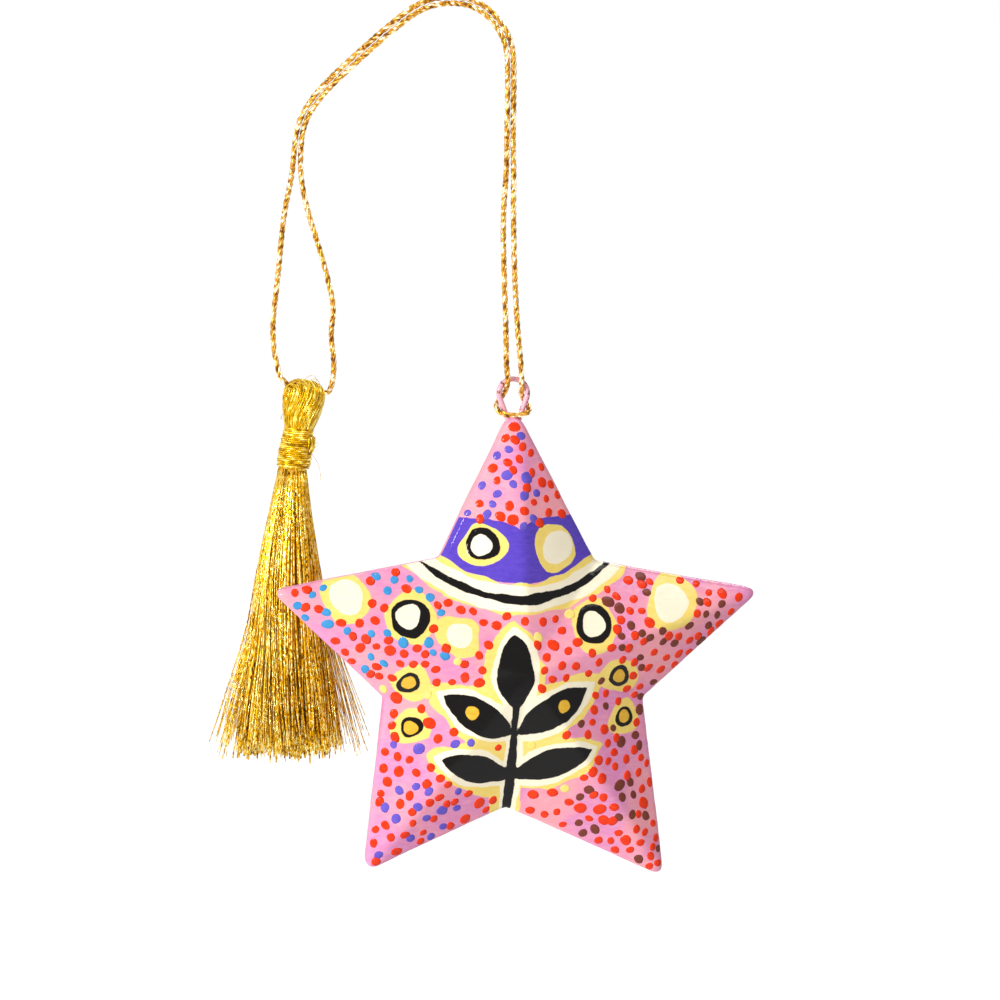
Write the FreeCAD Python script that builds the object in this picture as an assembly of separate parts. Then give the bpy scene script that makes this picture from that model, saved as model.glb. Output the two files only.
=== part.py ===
# Hanging star ornament: a hollow star of lacquered paper pulp with a wire eye,
# on one loop of metallic cord whose far end carries a thread tassel.
# Millimetres, +Z up, the front of the star faces -Y.
# The origin is the hanging point, on the underside of the crown of the cord.
import FreeCAD, Part
import math
import os

V = FreeCAD.Vector
UP = V(0, 0, 1)
ACROSS = V(0, 1, 0)

# Star: ten flat facets a side, five points, made by hand and so a little uneven
star_radius = 41.5
corner_radius = 21.7
tip_radius_shares = (1.01, 1.011, 1.027, 0.976, 1.005)
corner_radius_shares = (0.97, 0.98, 1.033, 1.014, 1.009)
tip_angles = (90.8, 16.0, -55.3, -127.9, 161.4)
corner_angles = (53.4, -14.6, -95.2, -169.0, 125.3)
relief = 9.0
rim_thickness = 3.0
tip_round = 1.3
top_tip_round = 2.0
shell_wall = 1.6
seam_glue_thickness = 0.2
seam_glue_inset = 0.15

# Wire eye: a teardrop of wire whose two legs are glued into the top tip
wire_diameter = 0.87
eye_radius = 2.3
eye_rise = 4.2
eye_side = 10.1
eye_drop = 60.45
leg_spread = 0.87
leg_gap = 0.1
leg_depth = 9.0
leg_bend_radius = 1.6
leg_fit = 0.05
plug_depth = 11.0

# Cord: one loop, doubled from the star's eye over the crown to the tassel
cord_diameter = 0.9
cord_beside = 0.98
shorter_run_share = 0.45

# Tassel: a hank of threads folded over the cord and bound at the neck
tassel_side = -23.0
tassel_back = 16.0
neck_foot_drop = 73.3
head_lean = 9.3
head_height = 14.9
head_radius = 3.45
head_radius_height = 12.0
head_swell_radius = 2.95
head_swell_height = 9.3
head_shoulder_radius = 3.0
head_shoulder_height = 13.9
head_crown_radius = 1.6
head_crown_height = 14.7
neck_height = 7.2
core_radius = 2.35
core_overrun = 1.5
wrap_diameter = 0.36
wrap_fit = 0.02
wrap_turns = 8
wrap_start_height = 0.55
wrap_end_height = 6.75
wrap_least_gap = 0.4
pass_left_height = 13.6
pass_right_height = 13.0
knot_radius = 1.05
seam_turn = 45
skirt_length = 47.1
skirt_bottom_radius = 9.3
skirt_seat_gap = 0.1
skirt_level_shares = (0, 0.15, 0.365, 0.59, 0.8, 1)
skirt_radius_shares = (0.25, 0.37, 0.55, 0.69, 0.86, 1)
skirt_lean_shares = (0, -0.04, -0.08, -0.07, -0.08, -0.07)
skirt_depth_share = 0.86
skirt_lobes = 8
skirt_fold_share = 0.07

# Route of the doubled cord over the crown, midway between its two strands
crown_route = (
    V(9.5, -0.05, -19.55),
    V(9.7, -0.2, -12.0),
    V(9.5, -0.3, -4.6),
    V(4.3, -0.45, 0.94),
    V(-3.6, 0.5, 0.94),
    V(-9.6, 3.6, -3.9),
    V(-14.6, 7.3, -8.6),
    V(-18.9, 11.3, -12.9),
    V(-21.5, 14.6, -17.4),
    V(-21.9, 16.0, -22.05),
)

# Routes of the two strands from the crown down to the star's eye
star_left_upper = (
    V(8.95, -0.05, -20.45),
    V(9.0, -0.15, -25.5),
    V(8.45, -0.3, -31.1),
    V(8.4, -0.43, -36.65),
)
star_right_upper = (
    V(10.05, -0.05, -20.45),
    V(10.15, -0.15, -25.5),
    V(10.05, -0.3, -30.8),
    V(10.1, -0.43, -36.65),
)
star_left_lower = (
    V(8.4, -0.44, -36.95),
    V(8.55, -0.55, -43.0),
    V(8.78, -0.75, -50.0),
    V(8.83, -0.92, -57.0),
)
star_right_lower = (
    V(10.1, -0.44, -36.95),
    V(10.25, -0.55, -43.0),
    V(10.6, -0.75, -50.0),
    V(11.1, -0.92, -57.0),
)

# Route of the cord round the eye, from the eye's centre: down in front of the
# top of the ring, back through it, round behind one side and across the front
# of both legs. The other half is its mirror image.
hitch_half_route = (
    V(-1.2, -0.93, 2.75),
    V(-1.25, -0.97, 1.55),
    V(-1.12, -0.3, 0.65),
    V(-1.3, 0.62, -0.25),
    V(-2.2, 1.25, -0.95),
    V(-2.82, 0.45, -1.75),
    V(-2.4, -0.65, -2.65),
    V(-1.3, -1.08, -3.2),
)

# Routes of the two strands from the crown down to the tassel
tassel_left = (
    V(-22.4, 16.0, -22.85),
    V(-22.8, 16.0, -26.3),
    V(-24.0, 16.0, -31.3),
    V(-24.7, 16.0, -37.5),
    V(-25.3, 16.0, -43.6),
    V(-26.1, 16.0, -49.4),
    V(-25.9, 16.0, -54.2),
    V(-25.0, 16.0, -57.9),
)
tassel_right = (
    V(-21.4, 16.0, -22.85),
    V(-21.3, 16.0, -26.9),
    V(-20.3, 16.0, -31.6),
    V(-18.5, 16.0, -37.2),
    V(-17.0, 16.0, -42.6),
    V(-16.0, 16.0, -47.3),
    V(-16.7, 16.0, -51.4),
    V(-16.0, 16.0, -56.2),
    V(-16.5, 16.0, -60.0),
)


def save(shape, node):
    """Write one piece and print its volume."""
    if not shape.isValid():
        print("NOT VALID", node)
    shape.exportStep("parts/" + node + ".step")
    print(node, "solids", len(shape.Solids), "volume", round(shape.Volume, 3))


def corner_arc(before, corner, after, radius):
    """The arc of this radius that rounds a corner: its start, middle and end."""
    back = (before - corner).normalize()
    ahead = (after - corner).normalize()
    half_turn = (math.pi - back.getAngle(ahead)) / 2
    reach = radius * math.tan(half_turn)
    inward = (back + ahead).normalize()
    middle = corner + inward * (radius / math.cos(half_turn) - radius)
    return corner + back * reach, middle, corner + ahead * reach


def run_radius(before, corner, after):
    """The largest arc that the two runs at a point of a cord's route leave room for."""
    back = before - corner
    ahead = after - corner
    half_turn = (math.pi - back.getAngle(ahead)) / 2
    return shorter_run_share * min(back.Length, ahead.Length) / math.tan(half_turn)


def route_edges(points, name):
    """Straight runs joined by tangent arcs. Prints the tightest arc."""
    edges = []
    start = points[0]
    tightest = None
    for before, corner, after in zip(points, points[1:], points[2:]):
        radius = run_radius(before, corner, after)
        tightest = radius if tightest is None else min(tightest, radius)
        first, middle, last = corner_arc(before, corner, after, radius)
        edges.append(Part.LineSegment(start, first).toShape())
        edges.append(Part.Arc(first, middle, last).toShape())
        start = last
    edges.append(Part.LineSegment(start, points[-1]).toShape())
    print(name, "tightest radius", round(tightest, 2))
    return edges


def sweep(edges, diameter):
    """A round tube along a chain of edges."""
    first = edges[0]
    way = first.tangentAt(first.FirstParameter)
    start = first.valueAt(first.FirstParameter)
    ring = Part.Wire(Part.Circle(start, way, diameter / 2).toShape())
    return Part.Wire(edges).makePipeShell([ring], True, False)


def cord_tube(points, name):
    """One strand of cord. Prints its length and its volume over section times length."""
    edges = route_edges(points, name)
    length = sum(edge.Length for edge in edges)
    tube = sweep(edges, cord_diameter)
    section = math.pi * cord_diameter**2 / 4
    print(name, "length", round(length, 2), "volume share", round(tube.Volume / (section * length), 4))
    return tube


def beside(points, offset):
    """A route that runs beside another, above it on the crown when offset is positive."""
    flat = [V(p.x, 0, p.z) for p in points]
    runs = [(b - a).normalize() for a, b in zip(flat, flat[1:])]
    normals = [V(run.z, 0, -run.x) for run in runs]
    moved = []
    for number, point in enumerate(points):
        before = normals[max(number - 1, 0)]
        after = normals[min(number, len(normals) - 1)]
        both = (before + after).normalize()
        moved.append(point + both * (offset / both.dot(after)))
    return moved


def on_circle(radius, angle):
    """A point of the star's plane from its centre, the angle in degrees from +X."""
    return V(radius * math.cos(math.radians(angle)), 0, radius * math.sin(math.radians(angle)))


def star_points(scale):
    """The star's ten outline points, tip and inner corner in turn."""
    points = []
    for number, angle in enumerate(tip_angles):
        tip = on_circle(star_radius * tip_radius_shares[number] * scale, angle)
        inner = on_circle(corner_radius * corner_radius_shares[number] * scale, corner_angles[number])
        points += [tip, inner]
    return points


def star_face(scale):
    """The star's flat outline, with its tips rounded, about the origin."""
    points = star_points(scale)
    edges = []
    start = None
    first_start = None
    for number, point in enumerate(points):
        before = points[number - 1]
        after = points[(number + 1) % len(points)]
        if number % 2:
            begin = end = point
            arc = None
        else:
            radius = (tip_round if number else top_tip_round) * scale
            begin, middle, end = corner_arc(before, point, after, radius)
            arc = Part.Arc(begin, middle, end).toShape()
        if start is None:
            first_start = begin
        else:
            edges.append(Part.LineSegment(start, begin).toShape())
        if arc:
            edges.append(arc)
        start = end
    edges.append(Part.LineSegment(start, first_start).toShape())
    return Part.Face(Part.Wire(edges))


def tent(scale, base, rim, height):
    """The faceted half star from the plane at base, up its rim, to its apex."""
    ring = star_points(scale)
    low = [p + ACROSS * base for p in ring]
    high = [p + ACROSS * rim for p in ring]
    apex = ACROSS * height
    faces = [Part.Face(Part.makePolygon(low + [low[0]]))]
    for number in range(len(ring)):
        a, b = low[number - 1], low[number]
        c, d = high[number], high[number - 1]
        faces.append(Part.Face(Part.makePolygon([a, b, c, d, a])))
        faces.append(Part.Face(Part.makePolygon([d, c, apex, d])))
    solid = Part.Solid(Part.Shell(faces))
    if solid.Volume < 0:
        solid.reverse()
    return solid


def half_star(scale, base, rim, height):
    """The faceted half star with its tips rounded."""
    column = star_face(scale).extrude(ACROSS * height)
    return tent(scale, base, rim, height).common(column)


def mirror_front(shape):
    """The same piece on the front side of the star's middle plane."""
    return shape.mirror(V(0, 0, 0), ACROSS)


# Star sizes that follow from the ones above
tip_half_angle = math.atan2(
    corner_radius * math.sin(math.pi / 5),
    star_radius - corner_radius * math.cos(math.pi / 5),
)
edge_distance = star_radius * math.sin(tip_half_angle)
rim_half = rim_thickness / 2
facet_slope = math.atan2(relief - rim_half, edge_distance)
cavity_scale = 1 - shell_wall / edge_distance
cavity_relief = relief - shell_wall / math.cos(facet_slope)
cavity_rim = cavity_relief - cavity_scale * (relief - rim_half)
glue_scale = 1 - seam_glue_inset / edge_distance

# The star hangs from its eye: the eye's place sets the star's
eye_centre = V(eye_side, 0, -eye_drop)
star_top = eye_centre - UP * eye_rise
top_end = star_face(1).BoundBox.ZMax
star_centre = star_top - V(on_circle(star_radius, tip_angles[0]).x, 0, top_end)

# The tassel's parts are made about the foot of its neck
neck_foot = V(tassel_side, tassel_back, -neck_foot_drop)


def leg_points():
    """Left leg of the eye from its foot to where it joins the ring, from the eye's centre."""
    outer = V(-leg_spread, 0, -eye_rise)
    away = outer.Length
    turn = math.acos(eye_radius / away)
    angle = math.atan2(outer.z, outer.x) - turn
    touch = V(eye_radius * math.cos(angle), 0, eye_radius * math.sin(angle))
    inner_x = -(wire_diameter + leg_gap) / 2
    slope = (outer.z - touch.z) / (outer.x - touch.x)
    bend = V(inner_x, 0, outer.z + slope * (inner_x - outer.x))
    foot = V(inner_x, 0, -eye_rise - leg_depth)
    return foot, bend, touch


def flipped(point):
    """The mirror image of a point, left to right."""
    return V(-point.x, point.y, point.z)


def leg_edges():
    """Line, arc and line of the left leg."""
    foot, bend, touch = leg_points()
    first, middle, last = corner_arc(foot, bend, touch, leg_bend_radius)
    return [(foot, first), (first, middle, last), (last, touch)]


def to_edge(points):
    """A straight edge through two points, or an arc through three."""
    if len(points) == 2:
        return Part.LineSegment(*points).toShape()
    return Part.Arc(*points).toShape()


def eye_edges():
    """Up the left leg, round the ring and down the right leg."""
    left = leg_edges()
    touch = left[-1][-1]
    ring = (touch, V(0, 0, eye_radius), flipped(touch))
    right = [tuple(flipped(p) for p in reversed(run)) for run in reversed(left)]
    return [to_edge(run) for run in left + [ring] + right]


def make_star():
    """Two half shells, the glue between their rims, the eye and the plug that grips it."""
    body = half_star(1, seam_glue_thickness / 2, rim_half, relief)
    cavity = half_star(cavity_scale, 0, cavity_rim, cavity_relief)
    back = body.cut(cavity)
    front = mirror_front(back)
    outer_face = star_face(glue_scale)
    glue = outer_face.cut(star_face(cavity_scale)).extrude(ACROSS * seam_glue_thickness)
    glue.translate(ACROSS * (-seam_glue_thickness / 2))
    hollow = cavity.fuse(mirror_front(cavity)).removeSplitter()
    for piece in (back, front, glue, hollow):
        piece.translate(star_centre)

    eye = sweep(eye_edges(), wire_diameter)
    leg = sweep([to_edge(run) for run in leg_edges()], wire_diameter + 2 * leg_fit)
    for piece in (eye, leg):
        piece.translate(eye_centre)
    other_leg = leg.mirror(eye_centre, V(1, 0, 0))
    holes = [leg, other_leg]
    back = back.cut(holes)
    front = front.cut(holes)
    spacing = wire_diameter + leg_gap
    corner = star_top - V(spacing / 2, wire_diameter / 2, leg_depth)
    channel = Part.makeBox(spacing, wire_diameter, leg_depth, corner)
    glue = glue.cut(holes + [channel])

    width = 2 * star_radius
    block = Part.makeBox(width, width, plug_depth, star_top - V(star_radius, star_radius, plug_depth))
    plug = hollow.common(block).cut(eye)
    save(back, "back_shell")
    save(front, "front_shell")
    save(glue, "seam_glue")
    save(eye, "wire_eye")
    save(plug, "eye_plug")


def make_cords():
    """Every stretch of the loop of cord, and its hitch on the eye."""
    half = [eye_centre + point for point in hitch_half_route]
    other = [eye_centre + flipped(point) for point in reversed(hitch_half_route)]
    hitch = cord_tube(half + other, "eye_hitch")
    upper = [cord_tube(star_left_upper, "star left upper"), cord_tube(star_right_upper, "star right upper")]
    lower = [cord_tube(star_left_lower, "star left lower"), cord_tube(star_right_lower, "star right lower")]
    over = [cord_tube(beside(crown_route, side * cord_beside / 2), "crown strand") for side in (1, -1)]
    drop = [cord_tube(tassel_left, "tassel left"), cord_tube(tassel_right, "tassel right")]
    save(hitch, "eye_hitch")
    save(Part.makeCompound(upper), "star_cord_upper")
    save(Part.makeCompound(lower), "star_cord_lower")
    save(Part.makeCompound(over), "hanger_cord")
    save(Part.makeCompound(drop), "tassel_cord")


def lean(shape):
    """Stand a piece made about the local Z axis on the neck's foot, leaning as the head does."""
    shape.rotate(V(0, 0, 0), ACROSS, head_lean)
    shape.translate(neck_foot)
    return shape


def head_solid():
    """The folded head and the bound core under it, about the local Z axis."""
    base = -core_overrun
    swell = [V(core_radius, 0, neck_height), V(head_swell_radius, 0, head_swell_height)]
    swell.append(V(head_radius, 0, head_radius_height))
    dome = [swell[-1], V(head_shoulder_radius, 0, head_shoulder_height), V(head_crown_radius, 0, head_crown_height)]
    corners = [V(0, 0, base), V(core_radius, 0, base), swell[0]]
    edges = [Part.LineSegment(a, b).toShape() for a, b in zip(corners, corners[1:])]
    edges.append(Part.Arc(*swell).toShape())
    edges.append(Part.Arc(*dome).toShape())
    top = V(0, 0, head_height)
    edges.append(Part.LineSegment(dome[-1], top).toShape())
    edges.append(Part.LineSegment(top, corners[0]).toShape())
    head = Part.Face(Part.Wire(edges)).revolve(V(0, 0, 0), UP, 360)
    head.rotate(V(0, 0, 0), UP, seam_turn)
    return head


def biarc(start, start_way, end, end_way):
    """Two arcs that join two points smoothly, each as its start, middle and end."""
    gap = end - start
    ways = start_way + end_way
    along = gap.dot(ways)
    spread = 2 * (1 - start_way.dot(end_way))
    reach = (-along + math.sqrt(along**2 + spread * gap.dot(gap))) / spread
    near = start + start_way * reach
    far = end - end_way * reach
    join = (near + far) * 0.5
    arcs = []
    for first, knee, last in ((start, near, join), (join, far, end)):
        chord_middle = (first + last) * 0.5
        half_chord = (last - first).Length / 2
        bow = math.acos(half_chord / (knee - first).Length) / 2
        middle = chord_middle + (knee - chord_middle).normalize() * (half_chord * math.tan(bow))
        arcs.append((first, middle, last))
    return arcs


def make_wrap():
    """The binding thread: one unbroken tube wound round the neck."""
    radius = core_radius + wrap_fit + wrap_diameter / 2
    climb = (wrap_end_height - wrap_start_height) / wrap_turns
    quarters = 4 * wrap_turns

    def at(quarter):
        angle = quarter * math.pi / 2
        spot = V(radius * math.cos(angle), radius * math.sin(angle), wrap_start_height + climb * quarter / 4)
        way = V(-math.sin(angle) * radius, math.cos(angle) * radius, climb / (2 * math.pi)).normalize()
        return spot, way

    first, first_way = at(0)
    edges = [Part.LineSegment(first - first_way * wrap_diameter, first).toShape()]
    for quarter in range(quarters):
        spot, way = at(quarter)
        next_spot, next_way = at(quarter + 1)
        edges += [Part.Arc(*arc).toShape() for arc in biarc(spot, way, next_spot, next_way)]
    last, last_way = at(quarters)
    edges.append(Part.LineSegment(last, last + last_way * wrap_diameter).toShape())
    wrap = sweep(edges, wrap_diameter)

    spots = [spot for edge in edges for spot in edge.discretize(Number=5)[1:]]
    half_turn = len(spots) // (2 * wrap_turns)
    least = min((b - a).Length for n, a in enumerate(spots) for b in spots[n + half_turn:])
    length = sum(edge.Length for edge in edges)
    section = math.pi * wrap_diameter**2 / 4
    print("neck wrap length", round(length, 2), "volume share", round(wrap.Volume / (section * length), 4))
    print("neck wrap least gap", round(least - wrap_diameter, 3), "wanted", wrap_least_gap)
    return lean(wrap)


def skirt_section(number):
    """One lobed outline of the skirt."""
    radius = skirt_bottom_radius * skirt_radius_shares[number]
    centre = neck_foot + V(
        skirt_bottom_radius * skirt_lean_shares[number],
        0,
        -skirt_seat_gap - skirt_length * skirt_level_shares[number],
    )

    def at(step, reach):
        angle = math.pi * step / skirt_lobes
        return centre + V(reach * math.cos(angle), reach * skirt_depth_share * math.sin(angle), 0)

    valley = radius * (1 - skirt_fold_share)
    edges = []
    for lobe in range(skirt_lobes):
        start, top, end = at(2 * lobe, valley), at(2 * lobe + 1, radius), at(2 * lobe + 2, valley)
        edges.append(Part.Arc(start, top, end).toShape())
    return Part.Wire(edges)


def make_tassel():
    """Head, binding thread, skirt, and the cord with its knot inside the head."""
    middle_height = (pass_left_height + pass_right_height) / 2
    half_way = V(head_radius, 0, (pass_right_height - pass_left_height) / 2)
    left = UP * middle_height - half_way * 2
    right = UP * middle_height + half_way * 2
    bore = Part.makeCylinder(cord_diameter / 2, (right - left).Length, left, right - left)
    knot = Part.makeSphere(knot_radius, V(0, 0, middle_height), right - left)
    head = head_solid()
    for piece in (head, bore, knot):
        lean(piece)
    side = 4 * head_radius
    below = Part.makeBox(side, side, side, neck_foot - V(side / 2, side / 2, side + skirt_seat_gap))
    through = bore.common(head).cut(knot)
    head = head.cut([bore, knot, below])
    skirt = Part.makeLoft([skirt_section(n) for n in range(len(skirt_level_shares))], True, False)
    save(head, "tassel_head")
    save(through, "cord_pass")
    save(knot, "cord_knot")
    save(make_wrap(), "neck_wrap")
    save(skirt, "tassel_skirt")


os.makedirs("parts", exist_ok=True)
print("star centre", star_centre, "cavity scale", cavity_scale, "cavity rim", cavity_rim)
make_star()
make_cords()
make_tassel()
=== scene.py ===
# Hanging star ornament: a lacquered paper-pulp star and a metallic thread tassel
# on one loop of gold cord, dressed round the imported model.
import math
import random

import bmesh
import bpy
import numpy as np
from mathutils import Matrix, Vector, noise
from mathutils.bvhtree import BVHTree


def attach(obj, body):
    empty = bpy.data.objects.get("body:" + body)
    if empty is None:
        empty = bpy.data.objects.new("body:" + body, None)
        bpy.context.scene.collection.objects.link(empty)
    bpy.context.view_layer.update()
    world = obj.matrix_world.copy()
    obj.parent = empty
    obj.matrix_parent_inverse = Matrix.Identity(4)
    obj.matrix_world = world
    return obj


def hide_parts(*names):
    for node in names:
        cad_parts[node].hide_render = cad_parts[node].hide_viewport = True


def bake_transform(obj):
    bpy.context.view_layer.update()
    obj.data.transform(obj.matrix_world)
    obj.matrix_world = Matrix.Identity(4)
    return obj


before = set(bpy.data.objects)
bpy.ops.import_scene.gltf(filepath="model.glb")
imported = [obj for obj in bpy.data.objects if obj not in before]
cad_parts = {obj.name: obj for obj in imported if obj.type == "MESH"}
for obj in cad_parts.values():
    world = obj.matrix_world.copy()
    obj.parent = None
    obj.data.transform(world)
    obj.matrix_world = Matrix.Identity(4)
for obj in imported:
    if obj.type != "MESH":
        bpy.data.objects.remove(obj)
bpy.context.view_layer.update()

MM = 0.001
UP = Vector((0, 0, 1))
ACROSS = Vector((0, 1, 0))
chance = random.Random(7)


# ---- Small tools

def mm(*points):
    """Points typed in millimetres, in metres."""
    return [Vector(point) * MM for point in points]


def per(size):
    """The Scale of a pattern whose features are this many millimetres."""
    return 1 / (size * MM)


def colour(code):
    """An sRGB hex value as linear RGBA."""
    channels = [int(code[i:i + 2], 16) / 255 for i in (1, 3, 5)]
    linear = [c / 12.92 if c <= 0.04045 else ((c + 0.055) / 1.055) ** 2.4 for c in channels]
    return (*linear, 1)


def node(tree, kind, inputs=None, **settings):
    """Add a node with its settings. Each input is a value, or an output to link."""
    made = tree.nodes.new(kind)
    for name, value in settings.items():
        setattr(made, name, value)
    for key, value in (inputs or {}).items():
        if isinstance(value, bpy.types.NodeSocket):
            tree.links.new(value, made.inputs[key])
        else:
            made.inputs[key].default_value = value
    return made


def new_material(name):
    """An empty material: its node tree, its output and its object coordinates."""
    made = bpy.data.materials.new(name)
    made.use_nodes = True
    tree = made.node_tree
    tree.nodes.clear()
    place = node(tree, "ShaderNodeTexCoord").outputs["Object"]
    return made, tree, node(tree, "ShaderNodeOutputMaterial"), place


def mixed_colour(tree, share, first, second):
    """The colour a share of the way from the first to the second. Each is a hex value or an output."""
    ends = [colour(end) if isinstance(end, str) else end for end in (first, second)]
    return node(tree, "ShaderNodeMix", {0: share, 6: ends[0], 7: ends[1]}, data_type="RGBA").outputs[2]


def grain(tree, place, size, detail):
    """A noise pattern whose features are this many millimetres."""
    values = {"Vector": place, "Scale": per(size), "Detail": detail}
    return node(tree, "ShaderNodeTexNoise", values).outputs["Fac"]


def ranged(tree, value, start, end, low=0.0, high=1.0):
    """A value's way from start to end, laid out from low to high."""
    limits = {"From Min": start, "From Max": end, "To Min": low, "To Max": high}
    return node(tree, "ShaderNodeMapRange", {"Value": value, **limits}).outputs[0]


def bumped(tree, height, strength, depth):
    """The normals of a relief this many millimetres deep."""
    values = {"Height": height, "Strength": strength, "Distance": depth * MM}
    return node(tree, "ShaderNodeBump", values).outputs[0]


def finish_surface(tree, output, values):
    """Give a material its one shader."""
    shader = node(tree, "ShaderNodeBsdfPrincipled", values)
    tree.links.new(shader.outputs[0], output.inputs["Surface"])


def finish_piece(name, bm, material):
    """Turn a bmesh into a linked object that sits at the origin."""
    mesh = bpy.data.meshes.new(name)
    bm.to_mesh(mesh)
    bm.free()
    return link_piece(name, mesh, material)


def link_piece(name, mesh, material):
    """Link a mesh as a piece of the object, shaded smooth, with its finish."""
    mesh.name = name
    mesh.materials.clear()
    mesh.materials.append(material)
    mesh.polygons.foreach_set("use_smooth", [True] * len(mesh.polygons))
    piece = bpy.data.objects.new(name, mesh)
    bpy.context.scene.collection.objects.link(piece)
    return piece


# ---- Camera, floor and light

aim = mm((7.961, 0, -77.374))[0]
camera_azimuth, camera_elevation = math.radians(-12), math.radians(5)
camera_distance = 441 * MM
away = Vector((
    math.sin(camera_azimuth) * math.cos(camera_elevation),
    -math.cos(camera_azimuth) * math.cos(camera_elevation),
    math.sin(camera_elevation),
))
camera_data = bpy.data.cameras.new("camera")
camera_data.lens = 100
camera_data.sensor_width = 36
camera = bpy.data.objects.new("camera", camera_data)
camera.location = aim + away * camera_distance
camera.rotation_mode = "QUATERNION"
camera.rotation_quaternion = (-away).to_track_quat("-Z", "Y")
bpy.context.scene.collection.objects.link(camera)
bpy.context.scene.camera = camera
bpy.context.scene.view_settings.view_transform = "Standard"


def seen(tree):
    """1 on rays that show the background itself: camera, mirror and glass rays."""
    path = node(tree, "ShaderNodeLightPath").outputs
    found = path["Is Camera Ray"]
    for kind in ("Is Glossy Ray", "Is Transmission Ray"):
        found = node(tree, "ShaderNodeMath", {0: found, 1: path[kind]}, operation="MAXIMUM").outputs[0]
    return found


floor_height = -0.45
floor_radius = 6


def make_stage():
    """A pale floor well below the hanging object, and a white surrounding that lights it only faintly."""
    world = bpy.data.worlds.new("studio")
    world.use_nodes = True
    tree = world.node_tree
    tree.nodes.clear()
    strength = node(tree, "ShaderNodeMix", {0: seen(tree), 2: 0.2, 3: 1.0}).outputs[0]
    light = node(tree, "ShaderNodeBackground", {"Color": colour("#FFFFFF"), "Strength": strength})
    node(tree, "ShaderNodeOutputWorld", {"Surface": light.outputs[0]})
    bpy.context.scene.world = world

    material, tree, output, _ = new_material("pale_floor")
    matt = node(tree, "ShaderNodeBsdfDiffuse", {"Color": colour("#F4F4F4")})
    white = node(tree, "ShaderNodeEmission", {"Color": colour("#FFFFFF"), "Strength": 0.9})
    lit = node(tree, "ShaderNodeAddShader", {0: matt.outputs[0], 1: white.outputs[0]})
    mixed = node(tree, "ShaderNodeMixShader", {0: seen(tree), 1: matt.outputs[0], 2: lit.outputs[0]})
    tree.links.new(mixed.outputs[0], output.inputs["Surface"])
    bm = bmesh.new()
    level = Matrix.Translation((0, 0, floor_height))
    bmesh.ops.create_circle(bm, cap_ends=True, radius=floor_radius, segments=64, matrix=level)
    mesh = bpy.data.meshes.new("floor")
    bm.to_mesh(mesh)
    bm.free()
    mesh.materials.append(material)
    floor = bpy.data.objects.new("floor", mesh)
    bpy.context.scene.collection.objects.link(floor)


def lamp(name, place, size, watts):
    """A square soft light that faces the object."""
    data = bpy.data.lights.new(name, "AREA")
    data.shape = "SQUARE"
    data.size = size
    data.energy = watts
    made = bpy.data.objects.new(name, data)
    made.location = place
    made.rotation_mode = "QUATERNION"
    made.rotation_quaternion = (aim - Vector(place)).to_track_quat("-Z", "Y")
    bpy.context.scene.collection.objects.link(made)


make_stage()
lamp("window_light", place=(-0.706, -0.463, 0.104), size=0.24, watts=8.1)
lamp("upper_light", place=(0.3, -0.42, 0.65), size=0.4, watts=2.9)
lamp("rear_light", place=(0.3, 0.8, 0.5), size=0.5, watts=5.0)


# ---- Cord: one loop, tied round the eye, its ends knotted inside the tassel's head

eye_centre = mm((10.1, 0, -60.45))[0]
knot_centre = mm((-20.85, 16.0, -60.17))[0]

# From the knot up the tassel's left strand, over the crown and down to the eye
outer_route = mm(
    (-20.85, 16.0, -60.17), (-23.2, 16.0, -59.7), (-24.6, 16.0, -58.7), (-25.0, 16.0, -57.9),
    (-25.9, 16.0, -54.2), (-26.1, 16.0, -49.4), (-25.3, 16.0, -43.6), (-24.7, 16.0, -37.5),
    (-24.0, 16.0, -31.3), (-22.8, 16.0, -26.3), (-22.39, 16.0, -22.0), (-21.98, 14.6, -17.27),
    (-19.3, 11.3, -12.62), (-14.94, 7.3, -8.25), (-9.92, 3.6, -3.53), (-3.79, 0.5, 1.43),
    (4.49, -0.45, 1.43), (9.98, -0.3, -4.41), (10.19, -0.2, -12.0), (10.02, -0.05, -19.55),
    (10.15, -0.15, -25.5), (10.05, -0.3, -30.8), (10.1, -0.43, -36.8), (10.25, -0.55, -43.0),
    (10.6, -0.75, -50.0), (11.2, -0.98, -56.6),
)

# From the eye's centre, the right half of the hitch
hitch_route = mm(
    (1.1, -1.04, 2.9), (1.15, -1.04, 1.7), (1.2, -0.35, 0.75), (1.5, 0.95, -0.3),
    (2.2, 1.4, -1.35), (2.72, 0.45, -2.2), (2.3, -0.9, -3.0), (1.1, -1.2, -3.4),
)

# From the eye up the left strand, over the crown and down to the knot
inner_route = mm(
    (8.8, -0.98, -56.6), (8.78, -0.75, -50.0), (8.55, -0.55, -43.0), (8.4, -0.43, -36.8),
    (8.45, -0.3, -31.1), (9.0, -0.15, -25.5), (9.05, -0.05, -19.55), (9.21, -0.2, -12.0),
    (9.02, -0.3, -4.79), (4.11, -0.45, 0.45), (-3.41, 0.5, 0.45), (-9.28, 3.6, -4.27),
    (-14.26, 7.3, -8.95), (-18.5, 11.3, -13.18), (-21.02, 14.6, -17.53), (-21.41, 16.0, -22.1),
    (-21.3, 16.0, -26.9), (-20.3, 16.0, -31.6), (-18.5, 16.0, -37.2), (-17.0, 16.0, -42.6),
    (-16.0, 16.0, -47.3), (-16.7, 16.0, -51.4), (-16.0, 16.0, -56.2), (-16.5, 16.0, -60.0),
    (-17.3, 16.0, -61.0), (-18.7, 16.0, -60.85), (-20.85, 16.0, -60.17),
)

ply_count = 3
ply_radius = 0.225 * MM
ply_offset = 0.235 * MM
ply_lay = 3.7 * MM
ply_step = 0.16 * MM

# In a thread's "lay", how far apart the threads are, and the points round each
thread_pitch = 11 * MM
round_pitch = 0.08 * MM


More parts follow.
